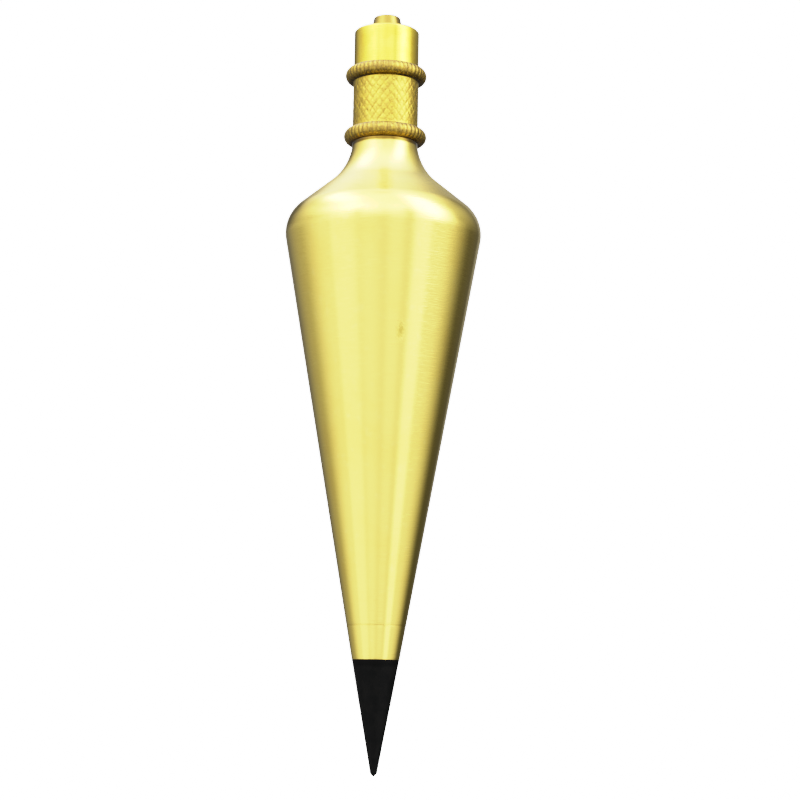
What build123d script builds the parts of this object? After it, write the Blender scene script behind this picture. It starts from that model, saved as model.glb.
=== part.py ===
from build123d import *
import math
import os

# Plumb bob, 16 ounce class: a turned brass weight with a screw-on knurled cap,
# a swivel for the line, and a replaceable hardened steel point.
#
# Frame: origin in the middle of the mouth of the line bore, on top of the
# swivel. +Z runs up the common axis, so the bob hangs below the origin and the
# apex of the point is at z = -OVERALL. All sizes are in millimetres.
# Heights named H_... are measured up from the apex of the point.

# ---------------------------------------------------------------- dimensions
OVERALL = 147.7                 # mouth of the line bore to apex of the point

# steel point
POINT_R0 = 0.536                # radius of the point's cone carried down to the apex
POINT_SLOPE = 0.1814            # radius gained per millimetre of height
H_BLUNT = 1.35                  # below this the cone is rounded off to a blunt apex
APEX_R = 0.12                   # flat left on the very apex
H_POINT_TOP = 21.75             # shoulder of the point, under the collar
SHANK_R = 2.40                  # plain shank inside the collar
SHANK_RELIEF_R = 1.85           # undercut between shank and thread
H_SHANK_PLAIN_TOP = 27.55
H_SHANK_RELIEF_TOP = 28.45
H_SHANK_TOP = 36.2

# tip thread, No. 10-32 UNF, right hand
TIP_MAJOR_R = 4.826 / 2
TIP_PITCH = 25.4 / 32
H_TIP_HOLE_TOP = 38.6

# cone shared by the collar and the weight
CONE_R0 = 0.6307                # radius of that cone carried down to the apex
CONE_SLOPE = 0.1783
H_COLLAR_TOP = 28.15            # joint between collar and weight
COLLAR_BORE_R = 2.50
JOINT_BREAK = 0.12              # broken edge where two turned faces meet

# brass weight
R_MAX = 19.05                   # 1 1/2 inch bar
SHOULDER_R = 6.85               # convex arc round the widest place
SHOULDER_ANGLE = 50.7           # steepest slope of the shoulder, from the axis
THROAT_R = 11.57                # concave arc from the shoulder up into the neck
NECK_R_MIN = 6.30               # where the concave arc would run parallel to the axis
H_NECK_TOP = 122.0              # joint between weight and cap
NECK_BREAK = 0.15

# socket in the neck and the chamber for the stopper knot below it
CHAMBER_R = 4.21
H_SOCKET_THREAD_BOTTOM = 112.6
H_CHAMBER_BOTTOM = 104.0
DRILL_HALF_ANGLE = 59.0

# knurled cap
BAND_R = 6.42                   # knurled band between the beads
BEAD_ROUND_R = 1.40             # half-round section of both beads
LOWER_BEAD_R = 8.08
UPPER_BEAD_R = 7.96
H_LOWER_BEAD = 123.40           # middle of the lower bead
H_UPPER_BEAD = 135.70           # middle of the upper bead
DRUM_R = 6.35                   # plain cylinder above the upper bead, 1/2 inch
H_DRUM_TOP = 144.75
DRUM_BREAK = 0.30
CAP_BORE_R = 3.225
SPIGOT_RELIEF_R = 4.02
H_SPIGOT_RELIEF_BOTTOM = 121.1
H_SPIGOT_BOTTOM = 114.0

# cap thread, 3/8-24 UNF, right hand
CAP_MAJOR_R = 9.525 / 2
CAP_PITCH = 25.4 / 24

# thread form: 60 degree V with flats, and the gap left between mating flanks
THREAD_HALF_ANGLE = 30.0
THREAD_CLEARANCE = 0.08

# thrust washer under the cap's spigot
WASHER_BORE_R = 3.25
WASHER_R = 3.95
WASHER_T = 0.70

# line swivel
LINE_BORE_R = 1.20              # 3/32 inch hole for the line
SWIVEL_R = 3.175                # 1/4 inch rod through the cap
NIPPLE_TOP_R = 2.60
H_NIPPLE_FOOT = 144.95
NIPPLE_ROUND = 0.35
HEAD_R = 3.95
HEAD_T = 2.00
KNOT_SEAT_R = 2.60              # cone under the head that the knot pulls into
KNOT_SEAT_DEPTH = 1.20


# ------------------------------------------------------------------- helpers
def at(r, h):
    """A point of a turned profile: radius r, height h above the apex."""
    return Vector(r, 0, h - OVERALL)


def turned(edges):
    """Solid of revolution about the common axis from a closed profile."""
    return Solid.revolve(Face(Wire(edges)), 360, Axis.Z)


def outline(*points):
    """Straight edges through (r, h) points, closed back to the first."""
    vs = [at(*p) for p in points]
    return [Edge.make_line(a, b) for a, b in zip(vs, vs[1:] + vs[:1])]


def path(*items):
    """Edges of a closed profile. Each item is (r, h), or (r, h, rm, hm) for an
    arc that reaches (r, h) through (rm, hm)."""
    edges = []
    last = at(*items[0][:2])
    for it in list(items[1:]) + [items[0][:2]]:
        nxt = at(it[0], it[1])
        if len(it) == 4:
            edges.append(Edge.make_three_point_arc(last, at(it[2], it[3]), nxt))
        elif (nxt - last).length > 1e-6:
            edges.append(Edge.make_line(last, nxt))
        last = nxt
    return edges


def screw(r_major, r_minor, pitch, crest, h0, h1):
    """Right-hand threaded rod from height h0 to h1, made by turning its cross
    section as it rises. The ridge lies at angle 2 pi z / pitch in every such
    rod, so a rod and a socket of one pitch are in phase."""
    z0, z1 = h0 - OVERALL, h1 - OVERALL
    half_crest = math.pi * crest / pitch
    flank = (2 * math.pi * (r_major - r_minor)
             * math.tan(math.radians(THREAD_HALF_ANGLE)) / pitch)
    phase = 2 * math.pi * z0 / pitch

    def p(r, a):
        return Vector(r * math.cos(a + phase), r * math.sin(a + phase), z0)

    n = 8
    falling = [p(r_major + (r_minor - r_major) * i / n, half_crest + flank * i / n)
               for i in range(n + 1)]
    start = 2 * math.pi - half_crest - flank
    rising = [p(r_minor + (r_major - r_minor) * i / n, start + flank * i / n)
              for i in range(n + 1)]
    section = Wire([
        Edge.make_three_point_arc(p(r_major, -half_crest), p(r_major, 0), p(r_major, half_crest)),
        Edge.make_spline(falling),
        Edge.make_three_point_arc(falling[-1], p(r_minor, math.pi), rising[0]),
        Edge.make_spline(rising),
    ])
    return Solid.extrude_linear_with_rotation(
        Face(section), (0, 0, z0), (0, 0, z1 - z0), 360 * (z1 - z0) / pitch)


def male(r_major, pitch, h0, h1):
    return screw(r_major, r_major - 0.6134 * pitch, pitch, pitch / 8, h0, h1)


def female(r_major, pitch, h0, h1):
    """Tool that cuts the socket for male(), larger by the flank clearance."""
    c = THREAD_CLEARANCE
    a = math.radians(THREAD_HALF_ANGLE)
    crest = pitch / 8 + 2 * c * (1 / math.cos(a) - math.tan(a))
    return screw(r_major + c, r_major - 0.5413 * pitch + 0.02, pitch, crest, h0, h1)


def one(shape):
    """The single solid inside a boolean result."""
    solids = shape.solids()
    assert len(solids) == 1, len(solids)
    return solids[0]


def cone_r(h):
    return CONE_R0 + CONE_SLOPE * h


def point_r(h):
    return POINT_R0 + POINT_SLOPE * h


# --------------------------------------------------------------- steel point
# A cone with a blunt apex, and a shank that passes the collar and screws up
# into the weight.
point_blank = turned(path(
    (0, 0),
    (APEX_R, 0),
    (point_r(H_BLUNT), H_BLUNT, 0.53, 0.62),
    (point_r(H_POINT_TOP), H_POINT_TOP),
    (SHANK_R, H_POINT_TOP),
    (SHANK_R, H_SHANK_PLAIN_TOP - 0.25),
    (SHANK_R - 0.25, H_SHANK_PLAIN_TOP),
    (SHANK_RELIEF_R, H_SHANK_PLAIN_TOP),
    (SHANK_RELIEF_R, H_SHANK_RELIEF_TOP),
    (0, H_SHANK_RELIEF_TOP),
))
tip_root_r = TIP_MAJOR_R - 0.6134 * TIP_PITCH
tip_thread = male(TIP_MAJOR_R, TIP_PITCH, H_SHANK_RELIEF_TOP, H_SHANK_TOP)
tip_thread = one(tip_thread.intersect(turned(outline(
    (0, H_SHANK_RELIEF_TOP - 1), (tip_root_r - 0.1, H_SHANK_RELIEF_TOP - 1),
    (tip_root_r - 0.1, H_SHANK_RELIEF_TOP), (TIP_MAJOR_R + 0.6, H_SHANK_RELIEF_TOP + 0.7),
    (TIP_MAJOR_R + 0.6, H_SHANK_TOP - 1.3), (tip_root_r - 0.1, H_SHANK_TOP),
    (0, H_SHANK_TOP)))))
steel_point = one(point_blank.fuse(tip_thread))

# ---------------------------------------------------------------- tip collar
# Tapered brass ring clamped between the point and the weight.
tip_collar = turned(outline(
    (COLLAR_BORE_R + 0.2, H_POINT_TOP),
    (cone_r(H_POINT_TOP), H_POINT_TOP),
    (cone_r(H_COLLAR_TOP - JOINT_BREAK), H_COLLAR_TOP - JOINT_BREAK),
    (cone_r(H_COLLAR_TOP) - JOINT_BREAK, H_COLLAR_TOP),
    (COLLAR_BORE_R + 0.2, H_COLLAR_TOP),
    (COLLAR_BORE_R, H_COLLAR_TOP - 0.2),
    (COLLAR_BORE_R, H_POINT_TOP + 0.2),
))

# -------------------------------------------------------------- brass weight
# Long cone, rounded at its widest place, a short steep shoulder, then a
# concave throat up into the neck. Every run is tangent to the next.
a_cone = math.atan(CONE_SLOPE)
phi = math.radians(SHOULDER_ANGLE)
r_c1 = R_MAX - SHOULDER_R
h_c1 = (r_c1 + SHOULDER_R / math.cos(a_cone) - CONE_R0) / CONE_SLOPE
r_c2 = NECK_R_MIN + THROAT_R
h_c2 = h_c1 + (SHOULDER_R + THROAT_R - (r_c2 - r_c1) * math.cos(phi)) / math.sin(phi)


def convex(t):
    return r_c1 + SHOULDER_R * math.cos(t), h_c1 + SHOULDER_R * math.sin(t)


def concave(t):
    return r_c2 - THROAT_R * math.cos(t), h_c2 - THROAT_R * math.sin(t)


t_top = math.asin((h_c2 - (H_NECK_TOP - NECK_BREAK)) / THROAT_R)
neck_r, neck_h = concave(t_top)
drill_tan = math.tan(math.radians(DRILL_HALF_ANGLE))
cap_minor_r = CAP_MAJOR_R - 0.5413 * CAP_PITCH + 0.02
tip_minor_r = TIP_MAJOR_R - 0.5413 * TIP_PITCH + 0.02

weight = turned(path(
    (0, H_COLLAR_TOP),
    (cone_r(H_COLLAR_TOP) - JOINT_BREAK, H_COLLAR_TOP),
    (cone_r(H_COLLAR_TOP + JOINT_BREAK), H_COLLAR_TOP + JOINT_BREAK),
    convex(-a_cone),
    convex(phi) + convex((phi - a_cone) / 2),
    concave(phi),
    (neck_r, neck_h) + concave((phi + t_top) / 2),
    (neck_r - NECK_BREAK, H_NECK_TOP),
    (0, H_NECK_TOP),
))
chamber = turned(outline(
    (0, H_NECK_TOP + 1), (CHAMBER_R, H_NECK_TOP + 1), (CHAMBER_R, H_CHAMBER_BOTTOM),
    (0, H_CHAMBER_BOTTOM - CHAMBER_R / drill_tan)))
mouth = turned(outline(
    (0, H_NECK_TOP + 1), (CAP_MAJOR_R + 1.25, H_NECK_TOP + 1),
    (CAP_MAJOR_R - 0.75, H_NECK_TOP - 1), (0, H_NECK_TOP - 1)))
tip_hole = turned(outline(
    (0, H_COLLAR_TOP - 1), (tip_minor_r, H_COLLAR_TOP - 1), (tip_minor_r, H_TIP_HOLE_TOP),
    (0, H_TIP_HOLE_TOP + tip_minor_r / drill_tan)))
tip_mouth = turned(outline(
    (0, H_COLLAR_TOP - 1), (TIP_MAJOR_R + 1.2, H_COLLAR_TOP - 1),
    (TIP_MAJOR_R - 0.8, H_COLLAR_TOP + 1), (0, H_COLLAR_TOP + 1)))
weight = weight.cut(female(CAP_MAJOR_R, CAP_PITCH, H_SOCKET_THREAD_BOTTOM, H_NECK_TOP + 0.6))
weight = one(weight).cut(chamber)
weight = one(weight).cut(mouth)
weight = one(weight).cut(female(TIP_MAJOR_R, TIP_PITCH, H_COLLAR_TOP - 0.6, H_TIP_HOLE_TOP - 1.0))
weight = one(weight).cut(tip_hole)
brass_weight = one(one(weight).cut(tip_mouth))

# --------------------------------------------------------------- knurled cap
# Two half-round beads with a knurled band between them, a plain drum above,
# and a threaded spigot below. The smooth sizes are those over the knurls.
lb = LOWER_BEAD_R - BEAD_ROUND_R
ub = UPPER_BEAD_R - BEAD_ROUND_R
cap_blank = turned(path(
    (CAP_BORE_R, H_SPIGOT_RELIEF_BOTTOM),
    (SPIGOT_RELIEF_R, H_SPIGOT_RELIEF_BOTTOM),
    (SPIGOT_RELIEF_R, H_NECK_TOP),
    (lb, H_NECK_TOP),
    (lb, H_LOWER_BEAD + BEAD_ROUND_R, LOWER_BEAD_R, H_LOWER_BEAD),
    (BAND_R, H_LOWER_BEAD + BEAD_ROUND_R),
    (BAND_R, H_UPPER_BEAD - BEAD_ROUND_R),
    (ub, H_UPPER_BEAD - BEAD_ROUND_R),
    (ub, H_UPPER_BEAD + BEAD_ROUND_R, UPPER_BEAD_R, H_UPPER_BEAD),
    (DRUM_R, H_UPPER_BEAD + BEAD_ROUND_R),
    (DRUM_R, H_DRUM_TOP - DRUM_BREAK),
    (DRUM_R - DRUM_BREAK, H_DRUM_TOP),
    (CAP_BORE_R + 0.1, H_DRUM_TOP),
    (CAP_BORE_R, H_DRUM_TOP - 0.1),
))
cap_root_r = CAP_MAJOR_R - 0.6134 * CAP_PITCH
spigot = male(CAP_MAJOR_R, CAP_PITCH, H_SPIGOT_BOTTOM, H_SPIGOT_RELIEF_BOTTOM)
spigot = one(spigot.intersect(turned(outline(
    (0, H_SPIGOT_BOTTOM), (cap_root_r - 0.15, H_SPIGOT_BOTTOM),
    (CAP_MAJOR_R + 0.6, H_SPIGOT_BOTTOM + 1.35),
    (CAP_MAJOR_R + 0.6, H_SPIGOT_RELIEF_BOTTOM - 0.7), (cap_root_r - 0.1, H_SPIGOT_RELIEF_BOTTOM),
    (0, H_SPIGOT_RELIEF_BOTTOM)))))
bore = turned(outline(
    (0, H_SPIGOT_BOTTOM - 1), (CAP_BORE_R, H_SPIGOT_BOTTOM - 1),
    (CAP_BORE_R, H_SPIGOT_RELIEF_BOTTOM + 1), (0, H_SPIGOT_RELIEF_BOTTOM + 1)))
knurled_cap = one(cap_blank.fuse(one(spigot.cut(bore))))

# ------------------------------------------------------------- thrust washer
h_w0 = H_SPIGOT_BOTTOM - WASHER_T
thrust_washer = turned(outline(
    (WASHER_BORE_R, h_w0), (WASHER_R, h_w0), (WASHER_R, H_SPIGOT_BOTTOM),
    (WASHER_BORE_R, H_SPIGOT_BOTTOM)))

# --------------------------------------------------------------- line swivel
# Headed sleeve: its nipple stands out of the top of the cap, its shank turns
# in the cap, and its head bears up on the thrust washer.
h_head_top = h_w0
h_head_bottom = h_w0 - HEAD_T
k = NIPPLE_ROUND
line_swivel = turned(path(
    (LINE_BORE_R, h_head_bottom + KNOT_SEAT_DEPTH),
    (KNOT_SEAT_R, h_head_bottom),
    (HEAD_R - 0.25, h_head_bottom),
    (HEAD_R, h_head_bottom + 0.25),
    (HEAD_R, h_head_top),
    (SWIVEL_R, h_head_top),
    (SWIVEL_R, H_NIPPLE_FOOT),
    (NIPPLE_TOP_R + 0.05, OVERALL - k),
    (NIPPLE_TOP_R - k, OVERALL, NIPPLE_TOP_R + 0.02 - 0.29 * k, OVERALL - 0.29 * k),
    (LINE_BORE_R, OVERALL),
))

# -------------------------------------------------------------------- output
nodes = {
    "brass_weight": brass_weight,
    "knurled_cap": knurled_cap,
    "line_swivel": line_swivel,
    "thrust_washer": thrust_washer,
    "tip_collar": tip_collar,
    "steel_point": steel_point,
}
os.makedirs("parts", exist_ok=True)
total = 0.0
for name, shape in nodes.items():
    shape.label = name
    export_step(shape, f"parts/{name}.step")
    density = 7.85 if name in ("steel_point", "thrust_washer") else 8.5
    total += shape.volume * density / 1000
    print(f"{name}: valid {shape.is_valid}, volume {shape.volume:.2f} mm3")
print(f"convex arc centre r {r_c1:.3f} h {h_c1:.3f}, throat centre r {r_c2:.3f} h {h_c2:.3f}, neck r {neck_r:.3f}")
print(f"mass about {total:.1f} g")
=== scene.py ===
"""Plumb bob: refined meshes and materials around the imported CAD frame.

Sizes in the mesh code are millimetres; heights h are measured up from the apex
of the point, so z = h - OVERALL. Meshes are written in metres.
"""
import math

import bpy
import numpy as np
from mathutils import Matrix, Vector


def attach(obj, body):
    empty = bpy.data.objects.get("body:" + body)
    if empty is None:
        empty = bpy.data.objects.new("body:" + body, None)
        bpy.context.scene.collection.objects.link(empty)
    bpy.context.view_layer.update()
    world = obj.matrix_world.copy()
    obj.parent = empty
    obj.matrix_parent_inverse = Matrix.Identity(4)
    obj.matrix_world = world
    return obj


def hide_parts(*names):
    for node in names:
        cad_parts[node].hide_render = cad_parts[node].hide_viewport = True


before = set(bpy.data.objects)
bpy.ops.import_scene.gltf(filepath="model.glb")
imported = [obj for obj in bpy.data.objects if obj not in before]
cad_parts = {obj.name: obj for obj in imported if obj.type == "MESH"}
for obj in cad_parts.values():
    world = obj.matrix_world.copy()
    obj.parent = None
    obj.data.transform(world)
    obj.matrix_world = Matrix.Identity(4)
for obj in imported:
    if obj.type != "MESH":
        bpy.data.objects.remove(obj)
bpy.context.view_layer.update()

scene = bpy.context.scene
OVERALL = 147.7
TAU = 2 * math.pi


# =====================================================================
# Mesh making: closed skins built from rings about the Z axis
# =====================================================================
class Skin:
    """Rings of points about the axis, joined into one closed surface. Every
    point carries its distance along the profile (arc), how deep it lies in a
    cut (cavity), how near it is to a worn edge (edge), whether it belongs to a
    knurl (knurl) and how tarnished it is, with anything above 1 being painted
    shade on the underside of a bead (dull)."""

    def __init__(self):
        self.co, self.faces = [], []
        self.data = {"arc": [], "cavity": [], "edge": [], "knurl": [], "dull": []}
        self.count = 0

    def points(self, x, y, h, **data):
        n = len(x)
        self.co.append(np.stack([x, y, h - OVERALL], axis=1) / 1000.0)
        for key, store in self.data.items():
            value = data.get(key, 0.0)
            store.append(np.broadcast_to(np.asarray(value, dtype=float), (n,)).copy())
        ids = np.arange(self.count, self.count + n)
        self.count += n
        return ids

    def ring(self, n, r, h, **data):
        a = TAU * np.arange(n) / n
        r = np.broadcast_to(np.asarray(r, dtype=float), (n,))
        h = np.broadcast_to(np.asarray(h, dtype=float), (n,))
        return self.points(r * np.cos(a), r * np.sin(a), h, **data)

    def join(self, a, b):
        """Faces between ring a and the next ring b, which may have as many
        points, twice as many or half as many."""
        na, nb = len(a), len(b)
        if na == nb:
            a2, b2 = np.roll(a, -1), np.roll(b, -1)
            self.faces += list(zip(a.tolist(), a2.tolist(), b2.tolist(), b.tolist()))
        elif na == 2 * nb:
            for j in range(nb):
                k, m = (2 * j + 2) % na, (j + 1) % nb
                self.faces += [
                    (int(a[2 * j]), int(a[2 * j + 1]), int(b[j])),
                    (int(a[2 * j + 1]), int(b[m]), int(b[j])),
                    (int(a[2 * j + 1]), int(a[k]), int(b[m])),
                ]
        elif nb == 2 * na:
            for j in range(na):
                k, m = (2 * j + 2) % nb, (j + 1) % na
                self.faces += [
                    (int(a[j]), int(b[2 * j + 1]), int(b[2 * j])),
                    (int(a[j]), int(a[m]), int(b[2 * j + 1])),
                    (int(a[m]), int(b[k]), int(b[2 * j + 1])),
                ]
        else:
            raise ValueError((na, nb))

    def pole(self, a, h, first=False, **data):
        p = int(self.points(np.zeros(1), np.zeros(1), np.full(1, float(h)), **data)[0])
        for i in range(len(a)):
            j = (i + 1) % len(a)
            self.faces.append((p, int(a[j]), int(a[i])) if first else (int(a[i]), int(a[j]), p))

    def thread(self, start, end, n, h0, h1, pitch, rows, limit, arc0):
        """Helical patch between ring start at h0 and ring end at h1. rows is
        one pitch of the thread as (fraction of the pitch from the middle of
        the ridge, radius). limit(r, h) trims a radius near the ends. The patch
        rises if h1 > h0 and falls if not."""
        lo, hi = min(h0, h1), max(h0, h1)
        low, high = (start, end) if h1 > h0 else (end, start)
        m0 = math.floor((lo - OVERALL) / pitch) - 3
        m1 = math.ceil((hi - OVERALL) / pitch) + 2
        steps = [(m + f, r) for m in range(m0, m1) for f, r in rows]
        i = np.arange(n)
        table, eps = [], 0.02
        for t, r in steps:
            h = OVERALL + pitch * (t + i / n)
            ids = np.where(h <= lo + eps, low, np.where(h >= hi - eps, high, -1))
            free = np.nonzero(ids < 0)[0]
            if len(free):
                hf = h[free]
                rf = limit(np.full(len(free), r), hf)
                a = TAU * free / n
                ids[free] = self.points(
                    rf * np.cos(a), rf * np.sin(a), hf, arc=arc0 + (hf - lo) * 1.6, cavity=0.25
                )
            table.append(ids)
        per = len(rows)
        for k in range(len(table) - 1 - per):
            a, d = table[k], table[k + 1]
            b = np.concatenate([a[1:], table[k + per][:1]])
            c = np.concatenate([d[1:], table[k + 1 + per][:1]])
            for q in zip(a.tolist(), b.tolist(), c.tolist(), d.tolist()):
                u = list(dict.fromkeys(q))
                if len(u) > 2:
                    self.faces.append(tuple(u))

    def build(self, name, sharp=38.0):
        co = np.concatenate(self.co)
        me = bpy.data.meshes.new(name)
        me.from_pydata(co.tolist(), [], self.faces)
        me.validate(clean_customdata=False)
        for key, store in self.data.items():
            at = me.attributes.new(key, "FLOAT", "POINT")
            at.data.foreach_set("value", np.concatenate(store).astype(np.float32))
        import bmesh

        bm = bmesh.new()
        bm.from_mesh(me)
        bmesh.ops.recalc_face_normals(bm, faces=bm.faces)
        loose = [v for v in bm.verts if not v.link_faces]
        if loose:
            bmesh.ops.delete(bm, geom=loose, context="VERTS")
        bm.to_mesh(me)
        open_edges = sum(1 for e in bm.edges if len(e.link_faces) != 2)
        volume = bm.calc_volume(signed=True)
        bm.free()
        print(f"MESH {name}: {len(me.vertices)} points, {sum(len(p.vertices) - 2 for p in me.polygons)} triangles, open edges {open_edges}, volume {volume * 1e9:.1f} mm3")
        me.shade_smooth()
        me.set_sharp_from_angle(angle=math.radians(sharp))
        # a knurl stays smooth-shaded, whatever its slopes
        knurl = np.zeros(len(me.vertices), dtype=np.float32)
        me.attributes["knurl"].data.foreach_get("value", knurl)
        if knurl.max() > 0:
            ends = np.zeros(len(me.edges) * 2, dtype=np.int32)
            me.edges.foreach_get("vertices", ends)
            flag = np.zeros(len(me.edges), dtype=bool)
            me.attributes["sharp_edge"].data.foreach_get("value", flag)
            both = knurl[ends.reshape(-1, 2)].min(axis=1) > 0.5
            me.attributes["sharp_edge"].data.foreach_set("value", flag & ~both)
        ob = bpy.data.objects.new(name, me)
        scene.collection.objects.link(ob)
        return ob


def rounded(*corners, seg=4):
    """Profile through (r, h, radius) corners, each replaced by an arc of that
    radius. Gives (r, h, edge) points, with edge 1 in the middle of an arc."""
    pts = [np.array(c[:2], dtype=float) for c in corners]
    out = []
    for i, c in enumerate(corners):
        rho = c[2] if len(c) > 2 else 0.0
        if rho <= 0 or i == 0 or i == len(corners) - 1:
            out.append((c[0], c[1], 0.0))
            continue
        a, b, d = pts[i - 1], pts[i], pts[i + 1]
        u, v = (a - b) / np.linalg.norm(a - b), (d - b) / np.linalg.norm(d - b)
        half = math.acos(max(-1, min(1, float(u @ v)))) / 2
        back = min(rho / math.tan(half), 0.48 * np.linalg.norm(a - b), 0.48 * np.linalg.norm(d - b))
        rho = back * math.tan(half)
        w = (u + v) / np.linalg.norm(u + v)
        centre = b + w * rho / math.sin(half)
        p, q = b + u * back - centre, b + v * back - centre
        turn = math.atan2(p[0] * q[1] - p[1] * q[0], float(p @ q))
        for k in range(seg + 1):
            t = turn * k / seg
            x = p[0] * math.cos(t) - p[1] * math.sin(t)
            y = p[0] * math.sin(t) + p[1] * math.cos(t)
            out.append((centre[0] + x, centre[1] + y, 1 - abs(2 * k / seg - 1) ** 2))
    return out


def spaced(pts, step):
    """The same profile with no gap between points longer than step."""
    out = [pts[0]]
    for p in pts[1:]:
        q = out[-1]
        d = math.hypot(p[0] - q[0], p[1] - q[1])
        n = max(1, math.ceil(d / step))
        for k in range(1, n):
            t = k / n
            out.append((q[0] + (p[0] - q[0]) * t, q[1] + (p[1] - q[1]) * t, 0.0))
        out.append(p)
    return out


def run(skin, pts, n, arc, last=None, **data):
    """Adds the rings of a profile, joined one to the next and to ring last.
    Gives the first ring, the last ring and the distance reached."""
    first = None
    prev = None
    for p in pts:
        if prev is not None:
            arc += math.hypot(p[0] - prev[0], p[1] - prev[1])
        ids = skin.ring(n, p[0], p[1], arc=arc, edge=p[2], **data)
        if last is not None:
            skin.join(last, ids)
        first = ids if first is None else first
        last, prev = ids, p
    return first, last, arc


def thread_rows(r_crest, r_root, pitch, crest):
    """One pitch of a 60 degree thread, as fractions of the pitch."""
    hc = crest / pitch / 2
    fl = abs(r_crest - r_root) * math.tan(math.radians(30)) / pitch
    return [(-hc, r_crest), (hc, r_crest), (hc + fl, r_root), (1 - hc - fl, r_root)]


def smooth(x, a, b):
    t = np.clip((np.asarray(x, dtype=float) - a) / (b - a), 0, 1)
    return t * t * (3 - 2 * t)


# ---------------------------------------------------------------- sizes
H_POINT_TOP, H_COLLAR_TOP, H_NECK_TOP = 21.75, 28.15, 122.0
TIP_R, TIP_P = 4.826 / 2, 25.4 / 32
CAP_R, CAP_P = 9.525 / 2, 25.4 / 24
R_MAX, SHOULDER_R, THROAT_R, NECK_R_MIN = 19.034, 6.85, 11.57, 6.30
PHI = math.radians(50.7)
CONE_R0, CONE_SLOPE = 0.6307, 0.1783
POINT_R0, POINT_SLOPE = 0.536, 0.1814
CLEAR = 0.08


def cone_r(h):
    return CONE_R0 + CONE_SLOPE * h


def point_r(h):
    return POINT_R0 + POINT_SLOPE * h


def socket_rows(r_major, pitch):
    a = math.radians(30)
    crest = pitch / 8 + 2 * CLEAR * (1 / math.cos(a) - math.tan(a))
    return thread_rows(r_major + CLEAR, r_major - 0.5413 * pitch + 0.02, pitch, crest)


def make_weight():
    s = Skin()
    n, m = 288, 144
    tan59 = math.tan(math.radians(59))
    cap_minor = CAP_R - 0.5413 * CAP_P + 0.02
    tip_minor = TIP_R - 0.5413 * TIP_P + 0.02
    # chamber floor and wall, up to the foot of the socket thread
    pts = rounded((0.35, 104.0 - (4.21 - 0.35) / tan59), (4.21, 104.0, 0.3), (4.21, 112.0, 0), (4.21, 112.6, 0), seg=3)
    pts = spaced(pts, 2.0)
    first, last, arc = run(s, pts, m, 0.0)
    s.pole(first, 104.0 - 4.21 / tan59, first=True)
    # socket thread, then the countersunk mouth
    top = s.ring(m, CAP_R + 0.30, H_NECK_TOP - 0.05, arc=arc + 15, edge=0.4)
    s.thread(last, top, m, 112.6, H_NECK_TOP - 0.05, CAP_P, socket_rows(CAP_R, CAP_P),
             lambda r, h: np.maximum(np.where(h < 113.2, np.maximum(r, 4.21), r), CAP_R - 0.70 + (h - 121.0)), arc)
    arc = 40.0
    # top face of the neck and the outside, from the neck down to the collar
    r_c1 = R_MAX - SHOULDER_R
    a_cone = math.atan(CONE_SLOPE)
    h_c1 = (r_c1 + SHOULDER_R / math.cos(a_cone) - CONE_R0) / CONE_SLOPE
    r_c2 = NECK_R_MIN + THROAT_R
    h_c2 = h_c1 + (SHOULDER_R + THROAT_R - (r_c2 - r_c1) * math.cos(PHI)) / math.sin(PHI)
    t_top = math.asin((h_c2 - (H_NECK_TOP - 0.12)) / THROAT_R)
    neck = (r_c2 - THROAT_R * math.cos(t_top), h_c2 - THROAT_R * math.sin(t_top))
    pts = rounded((CAP_R + 0.33, H_NECK_TOP), (neck[0] - 0.01, H_NECK_TOP, 0.11), (neck[0], neck[1], 0), seg=4)
    for k in range(1, 41):
        t = t_top + (PHI - t_top) * k / 40
        pts.append((r_c2 - THROAT_R * math.cos(t), h_c2 - THROAT_R * math.sin(t), 0.0))
    for k in range(0, 41):
        t = PHI + (-a_cone - PHI) * k / 40
        pts.append((r_c1 + SHOULDER_R * math.cos(t), h_c1 + SHOULDER_R * math.sin(t), 0.0))
    end = rounded(pts[-1][:2], (cone_r(H_COLLAR_TOP), H_COLLAR_TOP, 0.022), (cone_r(H_COLLAR_TOP) - 1.0, H_COLLAR_TOP), seg=4)
    cone = spaced([pts[-1], end[1]], 0.9)
    fine = []
    for p in cone:
        fine.append(p)
    pts += fine[1:] + end[2:]
    pts = [pts[0]] + pts[1:]
    a0 = len(s.co)
    first, last, arc = run(s, pts, n, arc, last=top)
    # bottom face, mouth and thread of the tip hole, up to its end
    low = s.ring(m, TIP_R + 0.15, H_COLLAR_TOP, arc=arc + 2, edge=0.5)
    s.join(last, low)
    high = s.ring(m, tip_minor, 37.6, arc=arc + 20)
    s.thread(low, high, m, H_COLLAR_TOP, 37.6, TIP_P, socket_rows(TIP_R, TIP_P),
             lambda r, h: np.maximum(np.where(h > 37.0, tip_minor, r), TIP_R + 0.2 - (h - H_COLLAR_TOP)), arc)
    pts = rounded((tip_minor, 37.8), (tip_minor, 38.6, 0.15), (0.3, 38.6 + (tip_minor - 0.3) / tan59), seg=2)
    first, last, arc = run(s, pts, m, arc + 21, last=high)
    s.pole(last, 38.6 + tip_minor / tan59)
    return s.build("weight_body")


def nick(ob, centre, size, depth):
    """A shallow dent where something hard struck the cone."""
    co = np.zeros(len(ob.data.vertices) * 3)
    ob.data.vertices.foreach_get("co", co)
    co = co.reshape(-1, 3)
    d = (co - np.array(centre)) * 1000 / np.array(size)
    r = np.sqrt((d ** 2).sum(axis=1))
    w = np.clip(1 - r, 0, 1) ** 1.5
    out = co.copy()
    out[:, 2] = 0
    out /= np.maximum(np.linalg.norm(out, axis=1, keepdims=True), 1e-9)
    co -= out * (w * depth / 1000)[:, None]
    ob.data.vertices.foreach_set("co", co.ravel())
    ob.data.update()


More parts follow.
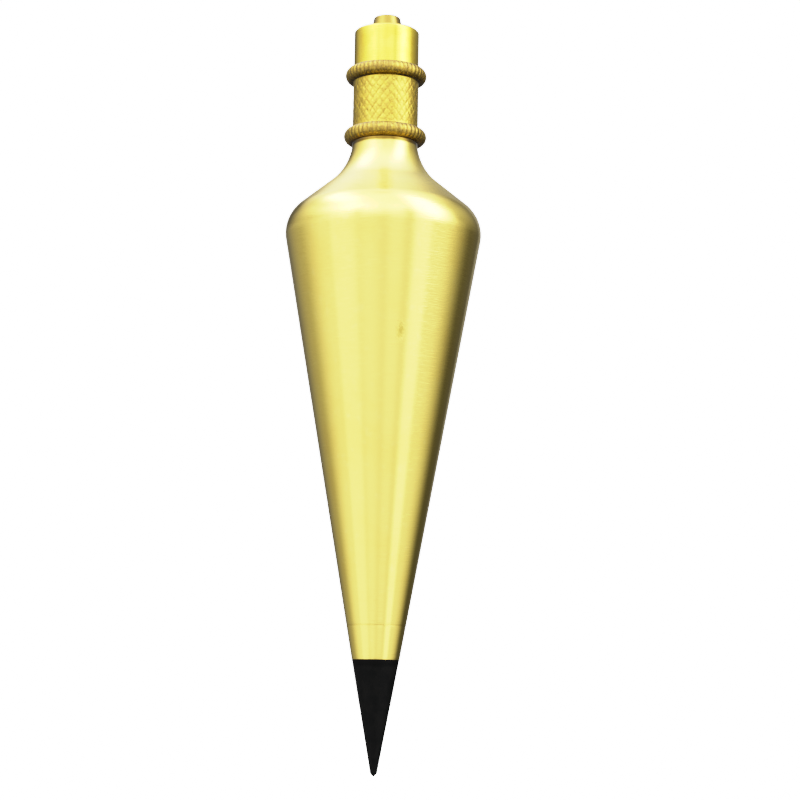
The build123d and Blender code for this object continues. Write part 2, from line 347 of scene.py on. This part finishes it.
def make_collar():
    s = Skin()
    n = 288
    pts = rounded(
        (2.50, 25.0), (2.50, H_POINT_TOP, 0.15), (cone_r(H_POINT_TOP), H_POINT_TOP, 0.05),
        (cone_r(H_COLLAR_TOP), H_COLLAR_TOP, 0.022), (2.50, H_COLLAR_TOP, 0.15), (2.50, 25.2), seg=4)
    pts = spaced(pts, 0.8)
    first, last, arc = run(s, pts, n, 0.0)
    s.join(last, first)
    return s.build("collar")


def make_point():
    s = Skin()
    n = 240
    root = TIP_R - 0.6134 * TIP_P
    # apex and its blunt rounding, then the cone
    tip = [(0.05, 0.0, 1.0), (0.10, 0.012, 1.0), (0.155, 0.05, 1.0)]
    for k in range(1, 15):
        t = k / 14
        h = 0.05 + (1.35 - 0.05) * t
        w = point_r(1.35) * (1 - (1 - t) ** 2.1) ** 0.62
        tip.append((max(0.155, min(w, point_r(h))), h, 1 - t))
    cone = rounded((point_r(1.35), 1.35), (point_r(H_POINT_TOP), H_POINT_TOP, 0.05),
                   (2.40, H_POINT_TOP, 0.05), (2.40, 27.30, 0.03), (2.15, 27.55, 0.03),
                   (1.85, 27.55, 0.06), (1.85, 28.20, 0), (root - 0.1, 28.47), seg=4)
    pts = tip + spaced(cone, 0.7)[1:]
    first, last, arc = run(s, pts, n, 0.0)
    s.pole(first, 0.0, first=True, edge=1.0)
    top = s.ring(n, root - 0.1, 36.2, arc=arc + 15, edge=0.3)
    s.thread(last, top, n, 28.47, 36.2, TIP_P, thread_rows(TIP_R, root, TIP_P, TIP_P / 8),
             lambda r, h: np.minimum(np.minimum(r, root - 0.1 + (h - 28.45) * 1.2), root - 0.1 + (36.2 - h) * 0.9), arc)
    pts = [(root - 0.3, 36.2, 0.0), (0.5, 36.2, 0.0)]
    first, last, arc = run(s, pts, n, arc + 16, last=top)
    s.pole(last, 36.2)
    return s.build("point_tip")


def make_cap():
    s = Skin()
    n, m = 432, 216
    root = CAP_R - 0.6134 * CAP_P
    # up the spigot: bottom face, thread, relief, underside of the lower bead
    pts = rounded((3.225, 114.6), (3.225, 114.0, 0.12), (root - 0.15, 114.0), seg=3)
    start, last, arc = run(s, pts, m, 0.0)
    top = s.ring(m, 4.02, 121.1, arc=arc + 12)
    s.thread(last, top, m, 114.0, 121.1, CAP_P, thread_rows(CAP_R, root, CAP_P, CAP_P / 8),
             lambda r, h: np.minimum(np.minimum(r, root - 0.15 + (h - 114.0) * 0.96), root - 0.1 + (121.1 - h) * 1.2), arc)
    arc += 13
    pts = rounded((4.02, 121.2), (4.02, 122.0, 0.15), (4.5, 122.0), seg=3)
    first, last, arc = run(s, pts, m, arc, last=top)
    ang = TAU * np.arange(n) / n
    turns = ang / TAU
    # gentle unevenness of depth, as a knurling wheel leaves
    uneven = 1 + 0.13 * np.sin(3 * ang + 0.7) + 0.10 * np.sin(7 * ang + 2.1)

    def bead(c_r, c_h, rho, teeth, depth, last, arc):
        rows = 22
        for k in range(rows + 1):
            p = math.radians(-90 + 180 * k / rows)
            t = np.abs((turns * teeth + 0.5) % 1 - 0.5) * 2            # 1 in a groove, 0 on a ridge
            cut = np.clip((t - 0.38) / 0.62, 0, 1)
            fade = float(smooth(math.degrees(abs(p)), 74, 40))
            d = depth * cut * fade * (1 + 0.8 * (uneven - 1))
            r = c_r + (rho - d) * math.cos(p)
            h = c_h + (rho - d) * math.sin(p)
            # the value given here is 1 for tarnish, plus up to 1 more of painted shade towards the underside of the
            # bead
            ids = s.ring(n, r, h, arc=arc, cavity=cut * fade, knurl=1.0 if fade > 0 else 0.0,
                         edge=(1 - cut) * fade * 0.15, dull=1.0 + float(smooth(-math.degrees(p), 38, 75)))
            s.join(last, ids)
            last = ids
            arc += rho * math.pi / rows
        return last, arc

    lb, ub, rho = 8.08 - 1.40, 7.96 - 1.40, 1.40
    last, arc = bead(lb, 123.40, rho, 48, 0.11, last, arc)
    # knurled band: two crossing sets of V grooves
    h0, h1 = 123.40 + rho, 135.70 - rho
    rows = 60
    rise = 1.94
    for k in range(rows + 1):
        h = h0 + (h1 - h0) * k / rows
        u = (turns * 27 + (h - h0) / rise) % 1
        v = (turns * 27 - (h - h0) / rise) % 1
        du, dv = np.minimum(u, 1 - u), np.minimum(v, 1 - v)
        w = 0.24
        cu, cv = np.clip(1 - du / w, 0, 1), np.clip(1 - dv / w, 0, 1)
        cut = np.clip(np.maximum(cu, cv) + 0.35 * np.minimum(cu, cv), 0, 1.25)   # deepest where they cross
        fade = float(smooth(h, h0 + 0.10, h0 + 0.55) * smooth(h, h1 - 0.10, h1 - 0.55))
        local = uneven + 0.22 * np.sin(1.3 * (h - h0) + 4 * ang) + 0.18 * np.sin(2.6 * (h - h0) - 9 * ang + 1.0)
        depth = 0.058 * fade * local
        crown = 0.022 * np.sin(1.7 * (h - h0) + 5 * ang) ** 2     # ridges not all pushed up alike
        r = 6.42 - depth * cut - crown * fade * np.clip(1 - cut, 0, 1)
        ids = s.ring(n, r, h, arc=arc, cavity=np.clip(cut, 0, 1) * fade, knurl=1.0,
                     edge=np.clip(1 - cut, 0, 1) * fade * 0.12, dull=0.66)
        s.join(last, ids)
        last = ids
        arc += (h1 - h0) / rows
    last, arc = bead(ub, 135.70, rho, 48, 0.11, last, arc)
    # drum, top edge, then down the bore
    pts = rounded((6.35, 137.1), (6.35, 144.45, 0.18), (6.05, 144.75, 0.12), (4.2, 144.75), seg=4)
    pts = spaced(pts, 1.0)
    first, last, arc = run(s, pts, n, arc, last=last)
    pts = rounded((3.6, 144.75), (3.225, 144.75, 0.12), (3.225, 144.0), seg=3) + [(3.225, 130.0, 0), (3.225, 120.0, 0)]
    first, last, arc = run(s, pts, m, arc + 1, last=last)
    s.join(last, start)
    return s.build("cap_body")


def make_swivel():
    s = Skin()
    n = 192
    # up the line bore, over the nipple and down the outside to the head
    pts = rounded(
        (1.20, 125.0), (1.20, OVERALL, 0.30), (2.55, OVERALL, 0.45), (3.10, 144.97, 0.12),
        (3.175, 144.6, 0.02), (3.175, 113.3, 0.10), (3.95, 113.3, 0.10), (3.95, 111.3, 0.25),
        (2.60, 111.3, 0.12), (1.20, 112.5, 0.25), (1.20, 125.0), seg=5)
    pts = spaced(pts, 2.5)
    first, last, arc = run(s, pts[:-1], n, 0.0)
    s.join(last, first)
    return s.build("swivel_sleeve")


def make_washer():
    s = Skin()
    pts = rounded(
        (3.60, 113.32), (3.95, 113.32, 0.10), (3.95, 113.98, 0.10), (3.25, 113.98, 0.06),
        (3.25, 113.32, 0.06), (3.55, 113.32), seg=3)
    first, last, arc = run(s, pts, 128, 0.0)
    s.join(last, first)
    return s.build("washer_ring")


# =====================================================================
# Materials
# =====================================================================
class Nodes:
    def __init__(self, name):
        self.mat = bpy.data.materials.new(name)
        self.mat.use_nodes = True
        self.t = self.mat.node_tree
        self.bsdf = self.t.nodes["Principled BSDF"]

    def node(self, kind, **props):
        n = self.t.nodes.new(kind)
        for k, v in props.items():
            setattr(n, k, v)
        return n

    def link(self, a, b):
        self.t.links.new(a, b)

    def put(self, sock, value):
        if hasattr(value, "is_output") or hasattr(value, "links"):
            self.link(value, sock)
        else:
            sock.default_value = value

    def math(self, op, a, b=0.0, c=0.0, clamp=False):
        n = self.node("ShaderNodeMath", operation=op, use_clamp=clamp)
        for s, v in zip(n.inputs, (a, b, c)):
            self.put(s, v)
        return n.outputs[0]

    def attr(self, name):
        return self.node("ShaderNodeAttribute", attribute_name=name).outputs["Fac"]

    def xyz(self, x, y, z):
        n = self.node("ShaderNodeCombineXYZ")
        for s, v in zip(n.inputs, (x, y, z)):
            self.put(s, v)
        return n.outputs[0]

    def noise(self, vector, scale, detail=3.0, rough=0.55, dist=0.0):
        n = self.node("ShaderNodeTexNoise")
        self.put(n.inputs["Vector"], vector)
        n.inputs["Scale"].default_value = scale
        n.inputs["Detail"].default_value = detail
        n.inputs["Roughness"].default_value = rough
        n.inputs["Distortion"].default_value = dist
        return n.outputs["Fac"]

    def step(self, x, a, b, lo=0.0, hi=1.0):
        n = self.node("ShaderNodeMapRange", interpolation_type="SMOOTHSTEP")
        self.put(n.inputs["Value"], x)
        n.inputs["From Min"].default_value = a
        n.inputs["From Max"].default_value = b
        n.inputs["To Min"].default_value = lo
        n.inputs["To Max"].default_value = hi
        return n.outputs["Result"]

    def mix(self, fac, a, b):
        n = self.node("ShaderNodeMix", data_type="RGBA")
        self.put(n.inputs[0], fac)
        for s, v in ((n.inputs[6], a), (n.inputs[7], b)):
            if isinstance(v, tuple):
                s.default_value = (*v, 1.0)
            else:
                self.link(v, s)
        return n.outputs[2]

    def object_mm(self):
        tc = self.node("ShaderNodeTexCoord")
        sc = self.node("ShaderNodeVectorMath", operation="SCALE")
        self.link(tc.outputs["Object"], sc.inputs[0])
        sc.inputs["Scale"].default_value = 1000.0
        return sc.outputs["Vector"]

    def bump(self, height, distance, strength=1.0, normal=None):
        n = self.node("ShaderNodeBump")
        n.inputs["Strength"].default_value = strength
        n.inputs["Distance"].default_value = distance
        self.link(height, n.inputs["Height"])
        if normal is not None:
            self.link(normal, n.inputs["Normal"])
        return n.outputs["Normal"]


BRASS = (0.94, 0.725, 0.150)
BRASS_WARM = (0.90, 0.64, 0.115)
BRASS_PALE = (0.96, 0.78, 0.20)
BRASS_GRIME_AND_SHADE = (0.36, 0.22, 0.06)
BRASS_TARNISHED = (0.132, 0.078, 0.028)
CAP_BRASS = (0.94, 0.70, 0.072)
CAP_BRASS_WARM = (0.88, 0.61, 0.055)
CAP_GRIME_AND_SHADE = (0.13, 0.075, 0.016)
CAP_UNDERSIDE_SHADE = (0.085, 0.042, 0.006)


def turned_lines(m, p, arc, across=0.05):
    """Heights of the fine rings that a lathe tool leaves, from three widths of
    line. Slightly broken round the piece, as real ones are."""
    sep = m.node("ShaderNodeSeparateXYZ")
    m.link(p, sep.inputs[0])
    x = m.math("MULTIPLY", sep.outputs[0], across)
    y = m.math("MULTIPLY", sep.outputs[1], across)
    v = m.xyz(arc, x, y)
    return m.noise(v, 0.9, 2.0), m.noise(v, 3.4, 2.0), m.noise(v, 8.5, 1.0)


def turned_brass(name, rough=0.125, lines=1.0, scuff=None, shade=1.0, throat=None):
    m = Nodes(name)
    p = m.object_mm()
    arc = m.attr("arc")
    edge = m.attr("edge")
    cavity = m.attr("cavity")
    a, b, c = turned_lines(m, p, arc)
    blotch = m.noise(p, 0.10, 4.0, 0.6)
    spot = m.noise(p, 0.55, 3.0, 0.6)
    # colour: warmer and paler areas of the lacquered surface, then tool lines, then grime and painted shade in the cuts
    col = m.mix(m.step(blotch, 0.42, 0.66, 0.0, 0.40), BRASS, BRASS_WARM)
    col = m.mix(m.step(spot, 0.56, 0.74, 0.0, 0.35), col, BRASS_PALE)
    col = m.mix(m.step(c, 0.55, 0.72, 0.0, 0.16), col, BRASS_WARM)
    col = m.mix(m.math("MULTIPLY", edge, 0.30), col, BRASS_PALE)
    col = m.mix(m.math("MULTIPLY", cavity, 0.7), col, BRASS_GRIME_AND_SHADE)
    r = m.math("ADD", rough - 0.07, m.math("MULTIPLY", b, 0.05))
    r = m.math("ADD", r, m.math("MULTIPLY", blotch, 0.06))
    r = m.math("ADD", r, m.math("MULTIPLY", c, 0.03))
    height = m.math("ADD", m.math("MULTIPLY", a, 1.3), m.math("MULTIPLY", b, 1.15))
    height = m.math("ADD", height, m.math("MULTIPLY", c, 2.5))
    if throat is not None:
        # the hollow of the throat is set coarser
        sep = m.node("ShaderNodeSeparateXYZ")
        m.link(p, sep.inputs[0])
        low, high = throat
        inside = m.math("MULTIPLY", m.step(sep.outputs[2], low - 3.0, low + 3.0), m.step(sep.outputs[2], high + 2.5, high - 2.5))
        r = m.math("ADD", r, m.math("MULTIPLY", inside, 0.13))
        # painted shade: the top of the neck darkened, under the cap
        col = m.mix(m.math("MULTIPLY", m.step(sep.outputs[2], -29.8, -26.8), 0.48), col, (0.42, 0.29, 0.05))
        # painted light: the hollow of the throat made paler and brighter
        painted_throat_light = m.math("MULTIPLY", m.step(sep.outputs[2], -38.0, -35.0), m.step(sep.outputs[2], -29.0, -32.5))
        col = m.mix(m.math("MULTIPLY", painted_throat_light, 0.20), col, (1.0, 0.88, 0.36))
        # painted shadow: a dark band round the top edge of the neck, under the cap's lower bead
        bead_shadow = m.math("MULTIPLY", m.step(m.math("ADD", sep.outputs[2], m.math("MULTIPLY", m.math("SUBTRACT", spot, 0.5), 0.35)), -26.60, -26.15), 0.90)
        col = m.mix(bead_shadow, col, (0.075, 0.036, 0.004))
    # dirt in the joint between the weight and the collar
    up = m.node("ShaderNodeSeparateXYZ")
    m.link(p, up.inputs[0])
    off = m.math("ABSOLUTE", m.math("SUBTRACT", up.outputs[2], H_COLLAR_TOP - 147.7))
    col = m.mix(m.step(off, 0.36, 0.05, 0.0, 0.24), col, (0.42, 0.29, 0.05))
    if scuff is not None:
        at = m.node("ShaderNodeVectorMath", operation="SUBTRACT")
        m.link(p, at.inputs[0])
        at.inputs[1].default_value = [v * 1000 for v in scuff]
        flat = m.node("ShaderNodeVectorMath", operation="MULTIPLY")
        m.link(at.outputs[0], flat.inputs[0])
        flat.inputs[1].default_value = (1.0, 1.0, 0.42)
        warp = m.noise(p, 2.6, 3.0, 0.7)
        ln = m.node("ShaderNodeVectorMath", operation="LENGTH")
        m.link(flat.outputs[0], ln.inputs[0])
        d = m.math("ADD", ln.outputs["Value"], m.math("MULTIPLY", m.math("SUBTRACT", warp, 0.5), 1.5))
        mark = m.step(d, 0.15, 1.0, 1.0, 0.0)
        col = m.mix(m.math("MULTIPLY", mark, 0.85), col, (0.44, 0.35, 0.055))
        r = m.math("ADD", r, m.math("MULTIPLY", mark, 0.18))
        height = m.math("SUBTRACT", height, m.math("MULTIPLY", mark, 4.0))
    if shade < 1.0:
        col = m.mix(1.0 - shade, col, (0.10, 0.055, 0.008))
    m.link(col, m.bsdf.inputs["Base Color"])
    m.link(m.math("MINIMUM", r, 0.9), m.bsdf.inputs["Roughness"])
    m.bsdf.inputs["Metallic"].default_value = 1.0
    m.link(m.bump(height, 0.0000075 * lines), m.bsdf.inputs["Normal"])
    return m.mat


def knurled_brass(name):
    m = Nodes(name)
    p = m.object_mm()
    arc = m.attr("arc")
    edge = m.attr("edge")
    cavity = m.attr("cavity")
    knurl = m.attr("knurl")
    dull = m.attr("dull")
    a, b, c = turned_lines(m, p, arc)
    blotch = m.noise(p, 0.35, 4.0, 0.6)
    grain = m.noise(p, 3.2, 3.0, 0.65)
    col = m.mix(m.step(blotch, 0.40, 0.64), CAP_BRASS, CAP_BRASS_WARM)
    # tarnish on the beads, grime and painted shade in the cuts, uneven, and rubbed ridges
    patch = m.noise(p, 0.95, 3.0, 0.6)
    worn = m.step(patch, 0.36, 0.62, 0.80, 1.12)
    tarnish = m.math("MULTIPLY", m.math("MULTIPLY", m.math("MINIMUM", dull, 1.0), worn, clamp=True), m.step(grain, 0.25, 0.70, 0.92, 1.0))
    col = m.mix(tarnish, col, BRASS_TARNISHED)
    groove_grime_and_shade = m.math("MULTIPLY", m.step(cavity, 0.30, 1.0), m.step(grain, 0.30, 0.66, 0.45, 1.0))
    col = m.mix(m.math("MULTIPLY", knurl, m.step(grain, 0.42, 0.70, 0.05, 0.35)), col, CAP_BRASS_WARM)
    mottle = m.noise(p, 1.9, 4.0, 0.7)
    col = m.mix(m.math("MULTIPLY", knurl, m.step(mottle, 0.52, 0.68, 0.0, 0.62)), col, CAP_GRIME_AND_SHADE)
    col = m.mix(m.math("MULTIPLY", groove_grime_and_shade, m.math("SUBTRACT", 0.42, m.math("MULTIPLY", knurl, 0.17))), col, CAP_GRIME_AND_SHADE)
    # handled drum: faint upright streaks of tarnish
    long = m.node("ShaderNodeVectorMath", operation="MULTIPLY")
    m.link(p, long.inputs[0])
    long.inputs[1].default_value = (1.0, 1.0, 0.22)
    streak = m.noise(long.outputs[0], 0.85, 4.0, 0.62)
    col = m.mix(m.step(streak, 0.50, 0.72, 0.0, 0.42), col, (0.66, 0.40, 0.050))
    col = m.mix(m.math("MULTIPLY", edge, 0.25), col, BRASS_PALE)
    # painted shade on the underside of each bead, broken up by the grain
    underside_shade = m.math("MULTIPLY", m.math("SUBTRACT", dull, 1.0, clamp=True), m.step(grain, 0.25, 0.60, 0.70, 1.0))
    col = m.mix(m.math("MULTIPLY", underside_shade, 0.28), col, CAP_UNDERSIDE_SHADE)
    r = m.math("ADD", 0.14, m.math("MULTIPLY", b, 0.05))
    r = m.math("ADD", r, m.math("MULTIPLY", knurl, 0.05))
    r = m.math("ADD", r, m.math("MULTIPLY", tarnish, 0.16))
    r = m.math("ADD", r, m.math("MULTIPLY", groove_grime_and_shade, 0.20))
    height = m.math("ADD", m.math("MULTIPLY", b, 1.6), m.math("MULTIPLY", c, 2.0))
    height = m.math("ADD", height, m.math("MULTIPLY", m.math("MULTIPLY", grain, knurl), 3.0))
    m.link(col, m.bsdf.inputs["Base Color"])
    m.link(r, m.bsdf.inputs["Roughness"])
    m.bsdf.inputs["Metallic"].default_value = 1.0
    m.link(m.bump(height, 0.0000055), m.bsdf.inputs["Normal"])
    return m.mat


def black_steel(name):
    m = Nodes(name)
    p = m.object_mm()
    arc = m.attr("arc")
    edge = m.attr("edge")
    a, b, c = turned_lines(m, p, arc)
    grain = m.noise(p, 2.6, 5.0, 0.7)
    cloud = m.noise(p, 0.45, 4.0, 0.65)
    col = m.mix(m.step(cloud, 0.40, 0.66), (0.0010, 0.0011, 0.0011), (0.0022, 0.0021, 0.0020))
    col = m.mix(m.step(grain, 0.58, 0.74, 0.0, 0.75), col, (0.0062, 0.0056, 0.0050))
    col = m.mix(m.math("MULTIPLY", edge, 0.25), col, (0.012, 0.0115, 0.011))
    sep = m.node("ShaderNodeSeparateXYZ")
    m.link(p, sep.inputs[0])
    col = m.mix(m.step(sep.outputs[2], -127.6, -126.9, 0.0, 0.75), col, (0.0003, 0.0003, 0.0003))
    r = m.math("ADD", 0.40, m.math("MULTIPLY", cloud, 0.14))
    r = m.math("ADD", r, m.math("MULTIPLY", grain, 0.08))
    m.link(col, m.bsdf.inputs["Base Color"])
    m.link(r, m.bsdf.inputs["Roughness"])
    m.bsdf.inputs["Metallic"].default_value = 0.0
    m.bsdf.inputs["Specular IOR Level"].default_value = 0.040
    height = m.math("ADD", m.math("MULTIPLY", b, 0.8), m.math("MULTIPLY", grain, 0.9))
    m.link(m.bump(height, 0.000006), m.bsdf.inputs["Normal"])
    return m.mat


def washer_steel(name):
    m = Nodes(name)
    p = m.object_mm()
    a, b, c = turned_lines(m, p, m.attr("arc"))
    cloud = m.noise(p, 0.8, 4.0, 0.6)
    col = m.mix(m.step(cloud, 0.40, 0.65), (0.52, 0.52, 0.50), (0.40, 0.39, 0.37))
    r = m.math("ADD", 0.26, m.math("MULTIPLY", b, 0.16))
    m.link(col, m.bsdf.inputs["Base Color"])
    m.link(r, m.bsdf.inputs["Roughness"])
    m.bsdf.inputs["Metallic"].default_value = 1.0
    m.link(m.bump(m.math("ADD", b, m.math("MULTIPLY", c, 0.4)), 0.000004), m.bsdf.inputs["Normal"])
    return m.mat


# =====================================================================
# Pieces
# =====================================================================
NICK = (0.00368, -0.01487, -0.06530)

weight = make_weight()
nick(weight, NICK, (0.7, 0.7, 1.3), 0.030)
collar = make_collar()
point = make_point()
cap = make_cap()
# a look setting, not physics: the cap is kept out of mirror rays, so the throat shows no reflection of it
cap.visible_glossy = False
swivel = make_swivel()
washer = make_washer()

weight.data.materials.append(turned_brass("brass_turned", scuff=NICK, throat=(-38.0, -29.0)))
collar.data.materials.append(turned_brass("brass_collar"))
point.data.materials.append(black_steel("steel_black_oxide"))
cap.data.materials.append(knurled_brass("brass_knurled"))
swivel.data.materials.append(turned_brass("brass_swivel", rough=0.20, shade=0.20))
washer.data.materials.append(washer_steel("steel_washer"))

for piece, node, body, slot_name in (
    (weight, "brass_weight", "weight", "turned_brass"),
    (collar, "tip_collar", "collar", "collar_brass"),
    (point, "steel_point", "point", "blackened_steel"),
    (cap, "knurled_cap", "cap", "knurled_brass"),
    (swivel, "line_swivel", "swivel", "swivel_brass"),
    (washer, "thrust_washer", "washer", "washer_steel"),
):
    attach(piece, body)
    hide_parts(node)


# =====================================================================
# Floor, light and camera
# =====================================================================
def make_floor():
    me = bpy.data.meshes.new("floor")
    z, n, radii = -0.185, 96, (0.15, 0.6, 1.5, 4.0)
    verts, faces = [(0.0, 0.0, z)], []
    for r in radii:
        verts += [(r * math.cos(TAU * i / n), r * math.sin(TAU * i / n), z) for i in range(n)]
    for i in range(n):
        faces.append((0, 1 + i, 1 + (i + 1) % n))
    for k in range(len(radii) - 1):
        a, b = 1 + k * n, 1 + (k + 1) * n
        for i in range(n):
            j = (i + 1) % n
            faces.append((a + i, b + i, b + j, a + j))
    me.from_pydata(verts, [], faces)
    ob = bpy.data.objects.new("floor", me)
    scene.collection.objects.link(ob)
    m = Nodes("floor_white")
    m.bsdf.inputs["Base Color"].default_value = (0.86, 0.86, 0.86, 1)
    m.bsdf.inputs["Roughness"].default_value = 0.9
    m.bsdf.inputs["Specular IOR Level"].default_value = 0.1
    m.bsdf.inputs["Emission Color"].default_value = (1, 1, 1, 1)
    m.bsdf.inputs["Emission Strength"].default_value = 2.1
    geo = m.node("ShaderNodeNewGeometry")
    clear = m.node("ShaderNodeBsdfTransparent")
    mixer = m.node("ShaderNodeMixShader")
    m.link(geo.outputs["Backfacing"], mixer.inputs[0])
    m.link(m.bsdf.outputs[0], mixer.inputs[1])
    m.link(clear.outputs[0], mixer.inputs[2])
    m.link(mixer.outputs[0], m.t.nodes["Material Output"].inputs["Surface"])
    me.materials.append(m.mat)
    ob.visible_glossy = False
    ob.visible_diffuse = False
    return ob


make_floor()


def make_world(panels, base):
    """Soft studio light: a dim room with large soft-edged light panels, each
    given by its azimuth (0 towards the camera, positive to the right), its
    elevation, and how wide its edges fade, all in degrees."""
    world = bpy.data.worlds.new("studio")
    scene.world = world
    world.use_nodes = True
    t = world.node_tree
    t.nodes.clear()

    def node(kind, **props):
        n = t.nodes.new(kind)
        for k, v in props.items():
            setattr(n, k, v)
        return n

    def calc(op, a, b=0.0, clamp=False):
        n = node("ShaderNodeMath", operation=op, use_clamp=clamp)
        for s, v in zip(n.inputs, (a, b)):
            if isinstance(v, (int, float)):
                s.default_value = v
            else:
                t.links.new(v, s)
        return n.outputs[0]

    def step(x, a, b):
        n = node("ShaderNodeMapRange", interpolation_type="SMOOTHSTEP")
        t.links.new(x, n.inputs["Value"])
        n.inputs["From Min"].default_value = a
        n.inputs["From Max"].default_value = b
        return n.outputs["Result"]

    tc = node("ShaderNodeTexCoord")
    sep = node("ShaderNodeSeparateXYZ")
    t.links.new(tc.outputs["Generated"], sep.inputs[0])
    x, y, z = sep.outputs
    deg = 180 / math.pi
    az = calc("MULTIPLY", calc("ARCTAN2", x, calc("MULTIPLY", y, -1.0)), deg)
    el = calc("MULTIPLY", calc("ARCSINE", z), deg)
    total = None
    for a, da, e, de, fa, fe, power in panels:
        if da >= 180:
            wa = None
        else:
            # distance round the horizon from the panel's middle, the short way
            d = calc("ABSOLUTE", calc("SUBTRACT", calc("PINGPONG", calc("ADD", az, 720.0 - a), 180.0), 0.0))
            wa = step(d, da + fa / 2, da - fa / 2)
        d = calc("ABSOLUTE", calc("SUBTRACT", el, float(e)))
        we = step(d, de + fe / 2, de - fe / 2)
        w = we if wa is None else calc("MULTIPLY", wa, we)
        w = calc("MULTIPLY", w, float(power))
        total = w if total is None else calc("ADD", total, w)
    total = calc("MAXIMUM", calc("ADD", total, float(base)), 0.02)
    bg = node("ShaderNodeBackground")
    bg.inputs["Color"].default_value = (1, 1, 1, 1)
    t.links.new(total, bg.inputs["Strength"])
    plain = node("ShaderNodeBackground")
    plain.inputs["Color"].default_value = (1, 1, 1, 1)
    plain.inputs["Strength"].default_value = 3.6
    lp = node("ShaderNodeLightPath")
    mixer = node("ShaderNodeMixShader")
    t.links.new(lp.outputs["Is Camera Ray"], mixer.inputs[0])
    t.links.new(bg.outputs[0], mixer.inputs[1])
    t.links.new(plain.outputs[0], mixer.inputs[2])
    out = node("ShaderNodeOutputWorld")
    t.links.new(mixer.outputs[0], out.inputs["Surface"])
    world.cycles.sampling_method = "MANUAL"
    world.cycles.sample_map_resolution = 1024


# (azimuth, half width, elevation, half height, azimuth fade, elevation fade, power)
PANELS = [
    (-95.2, 40.0, 59.0, 7.9, 59.6, 21.5, 5.86),     # left overhead softbox
    (64.1, 12.0, 38.7, 27.3, 54.0, 36.8, 10.5),     # right softbox
    (-46.3, 16.7, 33.2, 19.4, 71.2, 44.9, 4.23),    # left front softbox
    (31.7, 94.3, 49.7, 30.0, 89.9, 45.0, 1.01),     # broad fill from above
    (-22.8, 92.3, 37.3, 18.4, 90.0, 45.0, 2.64),    # broad fill from the left
    (-30.3, 104.1, -13.9, 27.2, 86.5, 6.0, 0.45),   # bounce from below
    (-58.6, 34.7, -13.9, 22.2, 44.8, 6.0, 0.94),    # low left
    (60.2, 38.7, -13.2, 29.3, 55.7, 12.8, 0.99),    # low right
    (-9.7, 16.0, -2.4, 30.0, 29.9, 10.4, 0.99),     # low middle
    (15.8, 9.2, 8.2, 30.0, 12.7, 45.0, 0.85),       # strip right of the camera
    (-48.5, 15.8, -11.5, 25.8, 4.3, 28.0, 0.50),    # left window edge
    (48.3, 11.0, -11.8, 18.5, 6.0, 22.6, 0.90),    # right window edge
    (-29.0, 4.0, 20.0, 12.0, 8.0, 16.0, -0.95),     # gap left of the camera
    (32.0, 3.5, 20.0, 12.0, 7.0, 16.0, -1.15),      # gap right of the camera
    (-160.6, 12.5, 44.6, 8.5, 75.1, 17.8, 2.88),    # back left
    (0, 180, 77.7, 16.4, 40, 44.6, 3.1),            # ceiling
    (175.5, 22.7, 21.4, 19.7, 8.0, 29.1, 0.28),     # behind the object
]
make_world(PANELS, 0.079)

cam_data = bpy.data.cameras.new("camera")
cam = bpy.data.objects.new("camera", cam_data)
scene.collection.objects.link(cam)
cam_data.lens, cam_data.sensor_width = 90.0, 36.0
cam_data.clip_start, cam_data.clip_end = 0.01, 20.0
cam.matrix_world = (
    Matrix.Translation((0.0038, -0.3816, -0.1299))
    @ Matrix.Rotation(math.radians(98.0), 4, "X")
    @ Matrix.Rotation(math.radians(0.966), 4, "Z")
)
scene.camera = cam

# Tone: plain sRGB with a soft shoulder, so a light on brass stays below the white of the room
scene.display_settings.display_device = "sRGB"
view = scene.view_settings
view.view_transform = "Standard"
view.look = "None"
view.exposure = 0.0
view.gamma = 1.0
view.use_curve_mapping = True
cm = view.curve_mapping
cm.white_level = (8.0, 8.0, 8.0)
cm.use_clip = True
cm.extend = "HORIZONTAL"
curve = cm.curves[3]
SHOULDER = ((0.0, 0.0), (0.25, 0.25), (0.5, 0.475), (0.75, 0.645), (1.0, 0.765), (1.3, 0.835), (1.8, 0.885), (2.2, 0.915), (2.6, 0.938), (3.1, 0.953), (3.48, 0.964), (3.56, 1.0), (8.0, 1.0))
while len(curve.points) < len(SHOULDER):
    curve.points.new(0.5, 0.5)
for pt, (px, py) in zip(curve.points, SHOULDER):
    pt.location = (px / 8.0, py)
    pt.handle_type = "VECTOR" if px > 3.2 else "AUTO"
cm.update()

bpy.context.view_layer.update()
